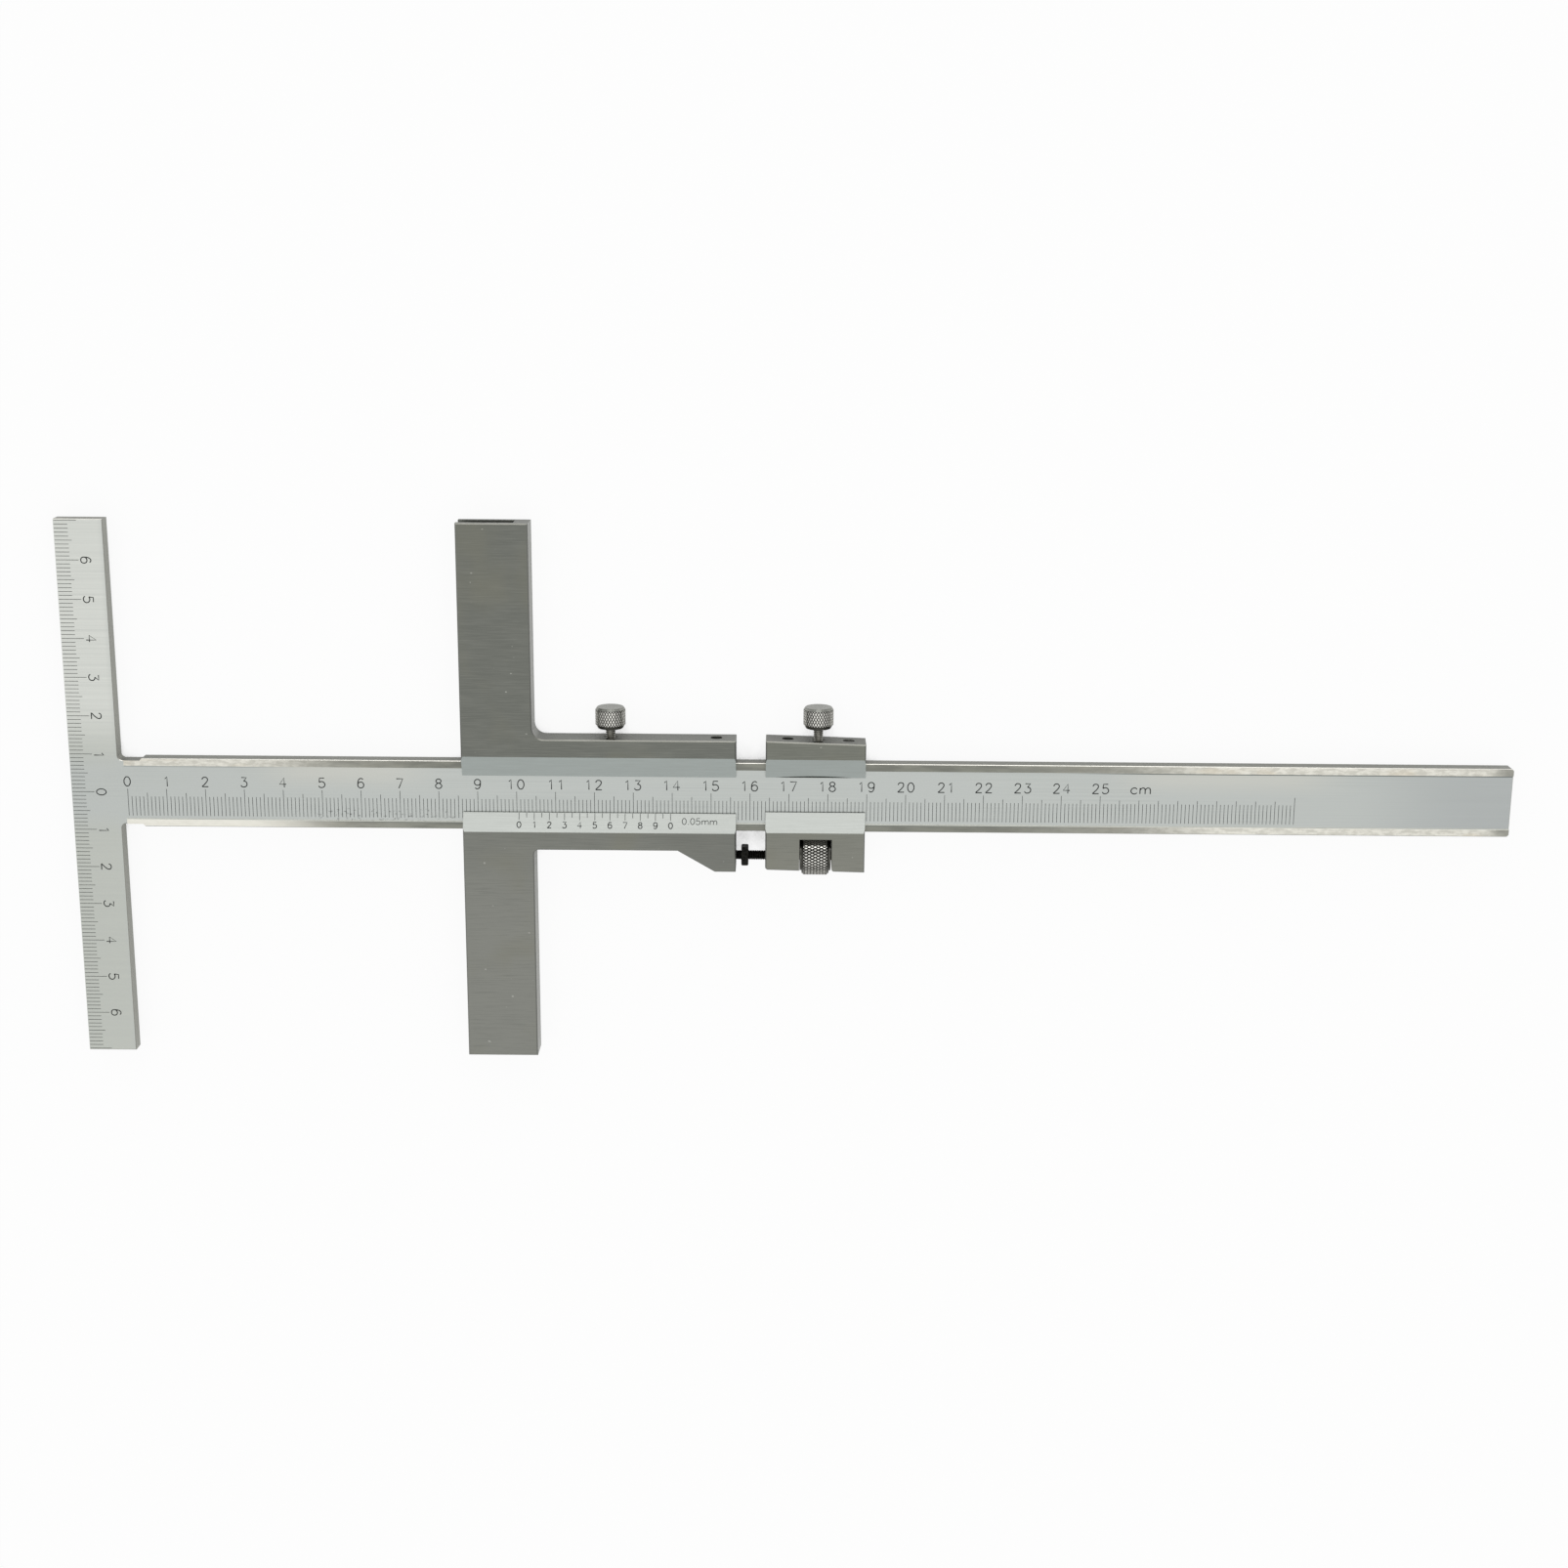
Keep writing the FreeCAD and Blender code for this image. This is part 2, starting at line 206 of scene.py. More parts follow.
def makeLamp(name, place, size, power, lookAt):
    lamp = bpy.data.objects.new(name, bpy.data.lights.new(name, "AREA"))
    bpy.context.scene.collection.objects.link(lamp)
    lamp.data.shape = "SQUARE"
    lamp.data.size = size
    lamp.data.energy = power
    lamp.location = place
    lamp.rotation_mode = "QUATERNION"
    lamp.rotation_quaternion = (Vector(lookAt) - Vector(place)).to_track_quat("-Z", "Y")


def makeFloor(look):
    shape = bmesh.new()
    bmesh.ops.create_grid(shape, x_segments=1, y_segments=1, size=look["floorSize"] / 2)
    level = cadBox[0][2] - look["floorDrop"] * mm
    bmesh.ops.translate(shape, verts=shape.verts, vec=(look["lookAt"][0], 0.0, level))
    mesh = bpy.data.meshes.new("floor")
    shape.to_mesh(mesh)
    shape.free()
    floor = bpy.data.objects.new("floor", mesh)
    bpy.context.scene.collection.objects.link(floor)
    material = bpy.data.materials.new("paleFloor")
    material.use_nodes = True
    tree = material.node_tree
    tree.nodes.clear()
    paper = addNode(tree, "ShaderNodeBsdfDiffuse", Color=(*look["floorColour"], 1.0))
    white = addNode(tree, "ShaderNodeEmission", Color=(1.0, 1.0, 1.0, 1.0), Strength=1.0)
    rays = addNode(tree, "ShaderNodeLightPath").outputs
    seen = times(tree, rays["Is Camera Ray"], look["seenWhite"])
    mirrored = times(tree, rays["Is Glossy Ray"], look["mirroredWhite"])
    around = addNode(tree, "ShaderNodeAmbientOcclusion", {"samples": look["shadeSamples"]},
                     Distance=look["shadeReach"] * mm)
    share = times(tree, plus(tree, seen, mirrored), rise(tree, around.outputs["AO"], *look["shadeRange"]))
    addNode(tree, "ShaderNodeOutputMaterial", Surface=mixShaders(tree, share, paper, white))
    mesh.materials.append(material)


makeCamera(cameraSet)
makeWorld(studioSet)
for name, (place, size, power) in studioSet["lamps"].items():
    makeLamp(name, place, size, power, studioSet["lookAt"])
makeFloor(studioSet)
bpy.context.scene.view_settings.view_transform = "Standard"
print("camera, floor and light made")


# Finishes: colours are 0 to 255 triples, patterns are (frequencies per metre, detail, roughness)

surfaceSet = {
    "grainRange": (0.25, 0.75),  # the part of the grain that the roughness follows
    "bumpStrength": 0.5,
    "slopeFrom": (0.5, 0.6),  # Z of the normal where a broken edge begins
    "slopeTo": (0.8, 0.9),  # and where it ends
    "turned": (0.3, 0.6),  # Y of the normal where an edge looks towards +Y, or below zero towards -Y
    "upward": (0.3, 0.5),  # Z of the normal where a side becomes the face
    "rightward": (0.5, 0.8),  # X of the normal where a side looks towards +X
}


def startMaterial(name):
    material = bpy.data.materials.new(name)
    material.use_nodes = True
    tree = material.node_tree
    shader = tree.nodes["Principled BSDF"]
    shader.inputs["Metallic"].default_value = 1.0
    return material, tree, shader, addNode(tree, "ShaderNodeTexCoord").outputs["Object"]


def readAxes(tree, kind):
    # X, Y and Z of the piece's own coordinates ("Object") or of its surface's direction ("Normal")
    vector = addNode(tree, "ShaderNodeTexCoord").outputs[kind]
    return addNode(tree, "ShaderNodeSeparateXYZ", Vector=vector).outputs


def finishSurface(tree, shader, colour, grain, look):
    # grain is a 0 to 1 pattern: it carries the roughness from low to high and the bump's height
    join(tree, colour, shader.inputs["Base Color"])
    roughness = rise(tree, grain, *surfaceSet["grainRange"], *look["roughness"])
    join(tree, roughness, shader.inputs["Roughness"])
    height = addNode(tree, "ShaderNodeBump", Strength=surfaceSet["bumpStrength"],
                     Distance=look["bump"] * mm, Height=grain)
    join(tree, height.outputs[0], shader.inputs["Normal"])


def edgeColours(tree, facing, colour, look):
    # Broken edges get painted light by the way they face: a bright painted highlight towards +Y, dark painted
    # shade towards -Y
    low, high = surfaceSet["turned"]
    sloping = times(tree, rise(tree, facing["Z"], *surfaceSet["slopeFrom"]),
                    fall(tree, facing["Z"], *surfaceSet["slopeTo"]))
    edge = blend(tree, rise(tree, facing["Y"], low, high), look["sideEdge"], look["rearEdgeHighlight"])
    edge = blend(tree, fall(tree, facing["Y"], -high, -low), edge, look["nearEdgeShade"])
    return blend(tree, sloping, colour, edge)


beamLook = {
    "side": (138, 139, 132),
    "sideLight": (150, 151, 144),
    "sideRightSheen": (162, 163, 155),
    "sideEdge": (170, 170, 162),
    # Broken edges facing +Y take a painted highlight, those facing -Y painted shade
    "rearEdgeHighlight": (238, 236, 228),
    "nearEdgeShade": (150, 151, 144),
    "armUpper": (212, 214, 208),
    "armLower": (187, 190, 183),
    "satin": (186, 190, 187),
    "satinLight": (192, 196, 192),
    "satinDark": (178, 182, 179),
    # A painted reflection: the warm band on the face
    "satinWarmReflection": (206, 204, 194),
    "satinEnd": (173, 177, 176),
    # Rail tones: bright painted reflections at both ends, stains on them, dull where the slider runs
    "railReflectionBright": (226, 224, 214),
    "railReflectionDark": (202, 200, 190),
    "railStain": (212, 202, 182),
    "railLowReflection": (238, 236, 226),
    "railDull": (134, 135, 126),
    "railDullDark": (119, 120, 113),
    "stepShade": (112, 117, 114),
    "stepHighlight": (224, 226, 218),
    "grime": (84, 86, 84),
    "brushed": ((18.0, 5200.0, 5200.0), 5.0, 0.65),
    "streakRange": (0.3, 0.7),
    "clouds": (((40.0, 90.0, 90.0), 3.0, 0.55), (0.4, 0.6, 0.0, 0.6)),
    "reflectionPatches": (((420.0, 1100.0, 900.0), 4.0, 0.6), (0.38, 0.62)),
    "stainPatches": (((85.0, 330.0, 300.0), 3.0, 0.5), (0.52, 0.72, 0.0, 0.45)),
    "dullPatches": (((130.0, 700.0, 600.0), 3.0, 0.55), (0.35, 0.65)),
    "specks": (((900.0, 1400.0, 900.0), 4.0, 0.7), (0.56, 0.66, 0.0, 0.75)),
    # Where the tones change: from and to in millimetres, then the strength at either end
    "railLowReflectionHalf": (-1.0, 1.0, 1.0, 0.0),
    "railLowReflectionEnd": (58.0, 75.0, 0.75, 0.0),
    "reflectionLeft": (43.0, 74.0, 0.78, 0.0),
    "reflectionRight": (263.0, 303.0, 0.0, 0.86),
    "faintReflectionLeft": (70.0, 100.0, 0.16, 0.0),
    "faintReflectionRight": (225.0, 270.0, 0.0, 0.2),
    "tipFade": (362.5, 368.5, 1.0, 0.25),
    "endFade": (325.0, 360.0, 0.0, 0.9),
    "warmReflectionHalf": (0.0, 6.0, 0.0, 0.42),
    "armBlend": (7.0, 24.0),
    "armEnd": (10.5, 14.5, 1.0, 0.0),
    "armStart": (4.0, 12.0),
    "armStreaks": 0.3,
    "pastBar": (13.5, 14.0),
    "railHeight": (2.05, 2.12),
    "shadeLeft": (40.0, 62.0, 0.4, 0.0),
    "shadeRight": (250.0, 280.0, 0.0, 0.95),
    # Zones: from, to and the softness of their borders
    "warmReflectionZones": ((52.0, 89.0, 10.0), (272.0, 322.0, 10.0)),
    "upperShade": (6.73, 7.04, 0.03),
    "lowerHighlight": (-7.2, -6.9, 0.06),
    "lowerHighlightShare": 0.9,
    "lowerShade": (-7.55, -7.25, 0.06),
    "lowerShadeShare": 0.45,
    "dullPart": (65.0, 250.0, 15.0),
    "grimeLength": (62.0, 99.0, 10.0),
    "grimeWidth": (-7.0, -4.0, 0.9),
    "roughness": (0.30, 0.44),
    "bump": 0.006,
}


def makeRailColour(tree, place, axes, look):
    # Painted reflection: bright at both ends of the beam, with stains there, dull where the slider runs
    bright = blend(tree, patches(tree, place, *look["reflectionPatches"]), look["railReflectionDark"],
                   look["railReflectionBright"])
    bright = blend(tree, patches(tree, place, *look["stainPatches"]), bright, look["railStain"])
    dull = blend(tree, patches(tree, place, *look["dullPatches"]), look["railDullDark"], look["railDull"])
    lowerLeftReflection = times(tree, along(tree, axes["Y"], *look["railLowReflectionHalf"]),
                      along(tree, axes["X"], *look["railLowReflectionEnd"]))
    bright = blend(tree, lowerLeftReflection, bright, look["railLowReflection"])
    reflected = along(tree, axes["X"], *look["reflectionLeft"])
    for part in ("reflectionRight", "faintReflectionLeft", "faintReflectionRight"):
        reflected = plus(tree, reflected, along(tree, axes["X"], *look[part]))
    reflected = times(tree, reflected, along(tree, axes["X"], *look["tipFade"]))
    return blend(tree, reflected, dull, bright)


def makeBeamMaterial(look):
    material, tree, shader, place = startMaterial("groundBeam")
    axes, facing = readAxes(tree, "Object"), readAxes(tree, "Normal")
    brushed = noise(tree, place, *look["brushed"])
    streaks = rise(tree, brushed, *look["streakRange"])
    satin = blend(tree, streaks, look["satinDark"], look["satinLight"])
    satin = blend(tree, patches(tree, place, *look["clouds"]), satin, look["satin"])
    satin = blend(tree, along(tree, axes["X"], *look["endFade"]), satin, look["satinEnd"])
    # Painted reflection: a warm band on the face's upper half, at two places along the beam
    warmReflectionLeft, warmReflectionRight = (zone(tree, axes["X"], *limits) for limits in look["warmReflectionZones"])
    warm = times(tree, plus(tree, warmReflectionLeft, warmReflectionRight), along(tree, axes["Y"], *look["warmReflectionHalf"]))
    satin = blend(tree, warm, satin, look["satinWarmReflection"])
    # The crossbar's upper arm is lighter than its lower one
    arms = blend(tree, along(tree, axes["Y"], *look["armBlend"]), look["armLower"], look["armUpper"])
    arms = blend(tree, times(tree, streaks, look["armStreaks"]), arms, satin)
    offMiddle = calculate(tree, "ABSOLUTE", axes["Y"], 0.0)
    inArms = times(tree, along(tree, axes["X"], *look["armEnd"]), along(tree, offMiddle, *look["armStart"]))
    face = blend(tree, inArms, satin, arms)
    # Painted shade and a painted highlight in fine lines where the rails step up from the face
    pastBar = along(tree, axes["X"], *look["pastBar"])
    ends = plus(tree, along(tree, axes["X"], *look["shadeLeft"]), along(tree, axes["X"], *look["shadeRight"]))
    shade = times(tree, zone(tree, axes["Y"], *look["upperShade"]), pastBar)
    face = blend(tree, times(tree, shade, ends), face, look["stepShade"])
    onRail = along(tree, axes["Z"], *look["railHeight"])
    face = blend(tree, onRail, face, makeRailColour(tree, place, axes, look))
    light = times(tree, zone(tree, axes["Y"], *look["lowerHighlight"]), pastBar)
    face = blend(tree, times(tree, light, look["lowerHighlightShare"]), face, look["stepHighlight"])
    shade = times(tree, zone(tree, axes["Y"], *look["lowerShade"]), zone(tree, axes["X"], *look["dullPart"]))
    face = blend(tree, times(tree, shade, look["lowerShadeShare"]), face, look["stepShade"])
    # Grime rubbed in between the graduations beside the slider
    dirty = times(tree, zone(tree, axes["X"], *look["grimeLength"]),
                  zone(tree, axes["Y"], *look["grimeWidth"]))
    dirty = times(tree, dirty, patches(tree, place, *look["specks"]))
    face = blend(tree, dirty, face, look["grime"])
    sides = blend(tree, streaks, look["side"], look["sideLight"])
    # Sides facing +X take a painted sheen, lighter than the other sides
    sides = blend(tree, rise(tree, facing["X"], *surfaceSet["rightward"]), sides, look["sideRightSheen"])
    colour = blend(tree, rise(tree, facing["Z"], *surfaceSet["upward"]), sides, face)
    colour = edgeColours(tree, facing, colour, look)
    finishSurface(tree, shader, colour, brushed, look)
    return material


bodyLook = {
    "upper": (110, 112, 106),
    "lower": (131, 132, 126),
    "grain": (140, 141, 134),
    "grainDark": (92, 94, 89),
    "warm": (126, 125, 110),
    "side": (142, 143, 138),
    "sideRightSheen": (186, 187, 183),
    "sideEdge": (132, 133, 128),
    # Broken edges facing +Y take a painted highlight, those facing -Y painted shade
    "rearEdgeHighlight": (146, 146, 139),
    "nearEdgeShade": (134, 135, 130),
    # Lip tones: painted shade on the upper lip, a painted sheen on the lower one
    "shadedUpperLip": (169, 176, 173),
    "highlightedLowerLip": (216, 220, 215),
    "nick": (186, 187, 180),
    "arcShadow": (60, 64, 60),
    "fine": ((110.0, 3400.0, 3400.0), 5.0, 0.7),
    "lightGrain": (0.45, 0.75, 0.0, 0.45),
    "darkGrain": (0.25, 0.55, 0.45, 0.0),
    "lipGrain": (0.3, 0.7, 0.0, 0.12),
    "broad": (((70.0, 260.0, 260.0), 3.0, 0.6), (0.45, 0.7, 0.0, 0.14)),
    "clouds": (((60.0, 45.0, 60.0), 2.0, 0.5), (0.5, 0.72, 0.0, 0.35)),
    "nicks": (((600.0, 700.0, 700.0), 1.0, 0.4), (0.76, 0.8, 0.0, 0.5)),
    "gradient": (-36.0, 14.0),  # Y in millimetres from the lower tone to the upper one
    "sideShare": 0.7,
    "lipHeight": (2.4, 2.45),
    "lipSlopeFrom": (0.88, 0.92),  # Z of the normal on the bevelled lips
    "lipSlopeTo": (0.975, 0.985),
    "lipSoft": 0.02,
    "lipEdgeWidth": 0.1,
    "lipEdgeFacing": (0.7, 0.9),
    "lipEdgeHighlight": 0.9,
    "footLength": (143.0, 158.0),
    "footWidth": (-10.5, -8.5, 1.0, 0.0),
    "footShade": 0.22,
    "arcSoft": (-0.02, 0.04),
    "arcHalf": (0.0, 4.0),
    "roughness": (0.32, 0.46),
    "bump": 0.008,
}
blockLook = {**bodyLook, "upper": (116, 118, 110), "lower": (136, 136, 128), "side": (132, 133, 128),
             "lipEdgeHighlight": 0.3, "footShade": 0.0}

bodyPlaces = {  # (low, high) Y of the upper and the lower lip, (start X, end X, depth) of a painted crescent of shadow
    "slider": ((5.25, 10.55), (-9.3, -4.45), None),
    "block": ((5.35, 10.4), (-9.0, -3.9), (180.6, 201.0, 0.46)),
}


def makeArcMask(tree, axes, inner, arcShadow, look):
    # Painted shadow: a shallow round crescent along the upper lip's inner edge
    start, end, depth = arcShadow
    across = calculate(tree, "SUBTRACT", axes["X"], (start + end) / 2 * mm)
    across = calculate(tree, "DIVIDE", across, (end - start) / 2 * mm)
    deep = calculate(tree, "SUBTRACT", 1.0, times(tree, across, across))
    deep = plus(tree, times(tree, deep, depth * mm), inner * mm)
    inside = along(tree, calculate(tree, "SUBTRACT", deep, axes["Y"]), *look["arcSoft"])
    return times(tree, inside, along(tree, axes["Y"], *look["arcHalf"]))


def makeBodyMaterial(name, look, shadedUpperLip, highlightedLowerLip, arcShadow):
    material, tree, shader, place = startMaterial(name)
    axes, facing = readAxes(tree, "Object"), readAxes(tree, "Normal")
    fine = noise(tree, place, *look["fine"])
    ground = blend(tree, along(tree, axes["Y"], *look["gradient"]), look["lower"], look["upper"])
    ground = blend(tree, rise(tree, fine, *look["lightGrain"]), ground, look["grain"])
    ground = blend(tree, rise(tree, fine, *look["darkGrain"]), ground, look["grainDark"])
    ground = blend(tree, patches(tree, place, *look["broad"]), ground, look["grain"])
    ground = blend(tree, patches(tree, place, *look["clouds"]), ground, look["warm"])
    ground = blend(tree, patches(tree, place, *look["nicks"]), ground, look["nick"])
    # Sides facing +X take a painted sheen, lighter than the other sides
    side = blend(tree, rise(tree, facing["X"], *surfaceSet["rightward"]), look["side"], look["sideRightSheen"])
    ground = blend(tree, fall(tree, facing["Z"], *surfaceSet["upward"], look["sideShare"]), ground, side)
    colour = edgeColours(tree, facing, ground, look)
    inFront = along(tree, axes["Z"], *look["lipHeight"])
    sloped = times(tree, rise(tree, facing["Z"], *look["lipSlopeFrom"]),
                   fall(tree, facing["Z"], *look["lipSlopeTo"]))
    sloped = times(tree, inFront, sloped)
    # Painted light on the bevelled lips: the upper lip, facing -Y, darker as painted shade, the lower lip
    # lighter as a painted sheen
    for colourName, lip in (("shadedUpperLip", shadedUpperLip), ("highlightedLowerLip", highlightedLowerLip)):
        onLip = times(tree, sloped, zone(tree, axes["Y"], *lip, look["lipSoft"]))
        lipColour = blend(tree, rise(tree, fine, *look["lipGrain"]), look[colourName], look["grain"])
        colour = blend(tree, onLip, colour, lipColour)
    # The lower lip's thin edge gets a painted highlight against the beam
    low, high = highlightedLowerLip[1] - look["lipEdgeWidth"], highlightedLowerLip[1] + look["lipEdgeWidth"]
    lipEdgeHighlight = times(tree, zone(tree, axes["Y"], low, high, look["lipSoft"]),
                    rise(tree, facing["Y"], *look["lipEdgeFacing"]))
    colour = blend(tree, times(tree, lipEdgeHighlight, look["lipEdgeHighlight"]), colour, look["highlightedLowerLip"])
    foot = times(tree, along(tree, axes["X"], *look["footLength"]),
                 along(tree, axes["Y"], *look["footWidth"]))
    colour = blend(tree, times(tree, foot, look["footShade"]), colour, look["grainDark"])
    # A crescent of painted shadow along the block's upper lip
    if arcShadow:
        crescentShadow = times(tree, makeArcMask(tree, axes, shadedUpperLip[0], arcShadow, look), inFront)
        colour = blend(tree, crescentShadow, colour, look["arcShadow"])
    finishSurface(tree, shader, colour, fine, look)
    return material


# Knurl tones: the crests painted light as highlights, the grooves, hubs and undersides painted dark as shade
crestHighlightLook = {
    "light": (246, 245, 238),
    "dark": (214, 213, 206),
    "roughness": (0.2, 0.32),
    "bump": 0.004,
    "rings": 2600.0,
}
grooveShadeLook = {
    "light": (108, 107, 101),
    "dark": (62, 62, 58),
    "roughness": (0.24, 0.4),
    "bump": 0.004,
    "rings": 1800.0,
}
threadLook = {
    "light": (192, 191, 184),
    "dark": (131, 130, 124),
    "roughness": (0.2, 0.34),
    "bump": 0.004,
    "rings": 1800.0,
}
endLook = {
    "light": (168, 169, 163),
    "dark": (136, 137, 131),
    "roughness": (0.18, 0.32),
    "bump": 0.006,
    "rings": 3200.0,
}
turnedSet = {
    "ringShare": 0.65,  # the rest of the pattern is even grain
    "ringDetail": 3.0,
    "ringRoughness": 0.6,
    "grain": ((1200.0, 1200.0, 1200.0), 3.0, 0.6),
    "range": (0.35, 0.65),
}
blackLook = {
    "light": (46, 46, 43),
    "dark": (20, 20, 18),
    "roughness": (0.38, 0.6),
    "bump": 0.01,
    "grain": (1500.0, 1500.0, 1500.0),
}
screwLook = {
    "light": (110, 110, 106),
    "dark": (70, 70, 66),
    "roughness": (0.35, 0.5),
    "bump": 0.008,
    "grain": (1300.0, 1300.0, 1300.0),
}
brassLook = {
    "light": (196, 160, 96),
    "dark": (158, 124, 70),
    "roughness": (0.3, 0.42),
    "bump": 0.006,
    "grain": (40.0, 2600.0, 2600.0),
}
inkLook = {
    "light": (52, 54, 54),
    "dark": (32, 34, 34),
    "roughness": (0.5, 0.7),
    "bump": 0.004,
    "grain": (2400.0, 2400.0, 2400.0),
    "gloss": 0.15,
}
plainSet = {
    "detail": (4.0, 0.65),
    "range": (0.3, 0.7),
}


def vectorNode(tree, operation, *values):
    node = addNode(tree, "ShaderNodeVectorMath", {"operation": operation})
    for value, socket in zip(values, node.inputs):
        join(tree, value, socket)
    return node.outputs


def makeTurnedMaterial(name, look, centre, across):
    # Turned metal with rings round an axis through centre; across masks out the axis's own direction
    material, tree, shader, place = startMaterial(name)
    offset = vectorNode(tree, "SUBTRACT", place, tuple(value * mm for value in centre))[0]
    radius = vectorNode(tree, "LENGTH", vectorNode(tree, "MULTIPLY", offset, across)[0])["Value"]
    rings = addNode(tree, "ShaderNodeTexNoise", {"noise_dimensions": "1D"}, W=radius, Scale=look["rings"],
                    Detail=turnedSet["ringDetail"], Roughness=turnedSet["ringRoughness"])
    grain = noise(tree, place, *turnedSet["grain"])
    mixed = plus(tree, times(tree, rings.outputs[0], turnedSet["ringShare"]),
                 times(tree, grain, 1 - turnedSet["ringShare"]))
    colour = blend(tree, rise(tree, mixed, *turnedSet["range"]), look["dark"], look["light"])
    finishSurface(tree, shader, colour, mixed, look)
    return material


def makePlainMaterial(name, look):
    material, tree, shader, place = startMaterial(name)
    grain = noise(tree, place, look["grain"], *plainSet["detail"])
    colour = blend(tree, rise(tree, grain, *plainSet["range"]), look["dark"], look["light"])
    finishSurface(tree, shader, colour, grain, look)
    return material


beamSteel = makeBeamMaterial(beamLook)
sliderSteel = makeBodyMaterial("groundSlider", bodyLook, *bodyPlaces["slider"])
blockSteel = makeBodyMaterial("groundBlock", blockLook, *bodyPlaces["block"])
blackSteel = makePlainMaterial("blackSteel", blackLook)
gibBrass = makePlainMaterial("gibBrass", brassLook)
screwSteel = makePlainMaterial("screwSteel", screwLook)
scaleInk = makePlainMaterial("scaleInk", inkLook)
inkShader = scaleInk.node_tree.nodes["Principled BSDF"]
inkShader.inputs["Metallic"].default_value = 0.0
inkShader.inputs["Specular IOR Level"].default_value = inkLook["gloss"]

nodeFinishes = {
    "t_beam": beamSteel,
    "slider_body": sliderSteel,
    "adjuster_block": blockSteel,
    "slider_gib": gibBrass,
    "adjuster_gib": gibBrass,
    "slider_gib_screw": screwSteel,
    "adjuster_gib_screws": screwSteel,
    "lock_nut": blackSteel,
}
for name, material in nodeFinishes.items():
    mesh = nodes[name].data
    mesh.materials.clear()
    mesh.materials.append(material)
print("finishes made")


# Helpers for new pieces: they are built in millimetres and placed in the frame's metres

def keepPiece(shape, name, body, materials, placing=Matrix.Identity(4)):
    bmesh.ops.transform(shape, matrix=Matrix.Scale(mm, 4) @ placing, verts=shape.verts)
    mesh = bpy.data.meshes.new(name)
    shape.to_mesh(mesh)
    shape.free()
    for material in materials:
        mesh.materials.append(material)
    piece = bpy.data.objects.new(name, mesh)
    bpy.context.scene.collection.objects.link(piece)
    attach(piece, body)
    return piece


def newEdges(grown):
    verts = {item for item in grown["geom"] if isinstance(item, bmesh.types.BMVert)}
    return [item for item in grown["geom"] if isinstance(item, bmesh.types.BMEdge)
            and item.verts[0] in verts and item.verts[1] in verts]


def growRing(shape, edges, radius, height, slot=0):
    # Extrudes a ring round the Z axis to a new radius and height
    grown = bmesh.ops.extrude_edge_only(shape, edges=edges)
    for item in grown["geom"]:
        if isinstance(item, bmesh.types.BMFace):
            item.material_index = slot
    ring = newEdges(grown)
    for vert in {vert for edge in ring for vert in edge.verts}:
        across = vert.co.xy.normalized() * radius
        vert.co = (across.x, across.y, height)
    return ring


def startRing(shape, segments, radius, height):
    made = bmesh.ops.create_circle(shape, segments=segments, radius=radius, cap_ends=False)
    bmesh.ops.translate(shape, verts=made["verts"], vec=(0.0, 0.0, height))
    return list({edge for vert in made["verts"] for edge in vert.link_edges})


def openRim(shape, height, reach):
    # The open edges that lie level at a height
    return [edge for edge in shape.edges if edge.is_boundary
            and all(abs(vert.co.z - height) < reach for vert in edge.verts)]


def knurlWall(shape, look, low, high):
    # Diamond knurl: a ringed wall, poked, its lattice dissolved to diamonds, each raised to the radius
    floor = look["radius"] - look["depth"]
    ring = startRing(shape, look["teeth"], floor, low)
    for row in range(look["rows"]):
        ring = growRing(shape, ring, floor, low + (high - low) * (row + 1) / look["rows"])
    lattice = [edge for edge in shape.edges if not edge.is_boundary]
    middles = bmesh.ops.poke(shape, faces=shape.faces[:])["verts"]
    for vert in middles:
        across = vert.co.xy.normalized() * floor
        vert.co = (across.x, across.y, vert.co.z)
    bmesh.ops.dissolve_edges(shape, edges=lattice, use_verts=False)
    bmesh.ops.recalc_face_normals(shape, faces=shape.faces[:])
    if shape.faces[0].normal.dot(shape.faces[0].calc_center_median() * Vector((1, 1, 0))) < 0:
        bmesh.ops.reverse_faces(shape, faces=shape.faces[:])
    flanks = bmesh.ops.inset_individual(shape, faces=shape.faces[:], thickness=look["inset"],
                                        depth=look["depth"], use_even_offset=True)["faces"]
    # The flanks take slot 1, painted dark as shade in the grooves
    for face in flanks:
        face.material_index = 1
    return openRim(shape, low, 0.01), openRim(shape, high, 0.01)


def closeRing(shape, ring, radius, height, slot):
    # Ends a ring in a small flat disc
    ring = growRing(shape, ring, radius, height, slot)
    for face in bmesh.ops.contextual_create(shape, geom=ring)["faces"]:
        face.material_index = slot


